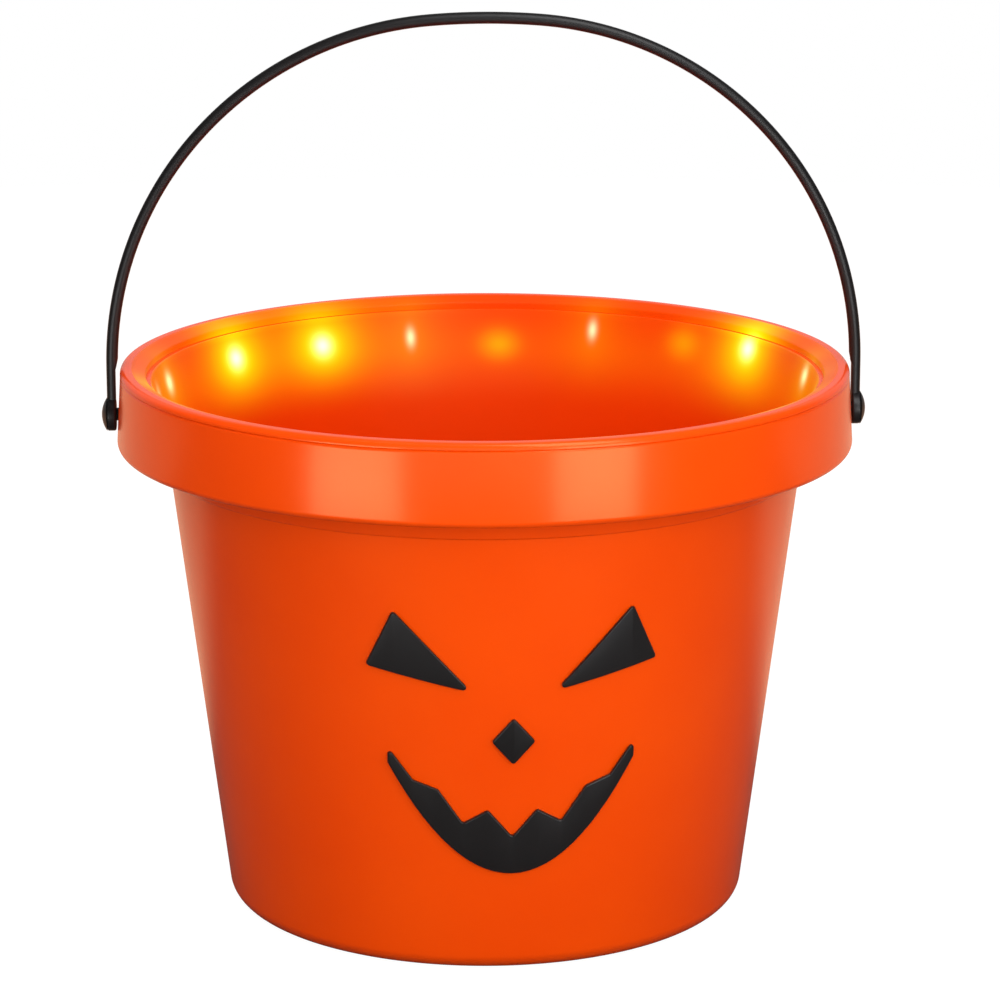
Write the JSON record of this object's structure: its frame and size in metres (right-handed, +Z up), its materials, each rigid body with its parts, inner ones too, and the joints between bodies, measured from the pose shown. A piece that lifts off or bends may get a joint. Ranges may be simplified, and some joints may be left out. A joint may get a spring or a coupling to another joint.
{
  "type": "candy pail",
  "caption": "Tapered pumpkin candy pail with a deep lit rim, a swinging wire-thin bail, raised jack-o'-lantern face and a rear cell box with door and slide switch.",
  "frame": {"origin": "centre of the foot ring's resting plane, on the tub's axis", "axes": "+Z up along the tub's axis, -Y towards the face, +X towards the right-hand pivot as the viewer sees it"},
  "size_m": [0.24, 0.2304, 0.2815],
  "materials": {
    "orange_shell": "satin moulded orange, slightly translucent",
    "orange_box": "fine moulded texture, orange",
    "black_plastic": "satin moulded black",
    "face_black": "satin black with moulded edges",
    "strip_film": "smooth film",
    "light_lens": "clear warm lens",
    "screw_steel": "plated",
    "cell_case": "plain dark sleeve with bare ends",
    "contact_metal": "bright nickel",
    "board_green": "solder mask",
    "chip_black": "moulded",
    "wire_sheath": "smooth insulation, one red and one black in each pair"
  },
  "bodies": {
    "pail": {"tub": "orange_shell", "channel_ring": "orange_shell", "rim_cap": "orange_shell", "bail_pin_left": "black_plastic", "bail_pin_right": "black_plastic", "left_eye": "face_black", "right_eye": "face_black", "nose": "face_black", "mouth": "face_black", "light_strip": "strip_film", "leds": "light_lens", "cell_box": "orange_box", "box_screws": "screw_steel", "cell_door": "orange_box", "door_screw": "screw_steel", "cells": "cell_case", "contact_plates": "contact_metal", "contact_springs": "contact_metal", "circuit_board": "board_green", "control_chip": "chip_black", "switch_case": "chip_black", "strip_wires": "wire_sheath", "cell_wires": "wire_sheath"},
    "bail": {"bail": "black_plastic"},
    "knob": {"switch_knob": "black_plastic"}
  },
  "joints": [
    {"name": "bail_swing", "type": "hinge", "parent": "pail", "child": "bail", "pos_m": [0, 0, 0.1562], "axis": [1, 0, 0], "range_deg": [-106, 130]},
    {"name": "switch_slide", "type": "slide", "parent": "pail", "child": "knob", "axis": [0, 0, 1], "range_m": [0, 0.003]}
  ]
}
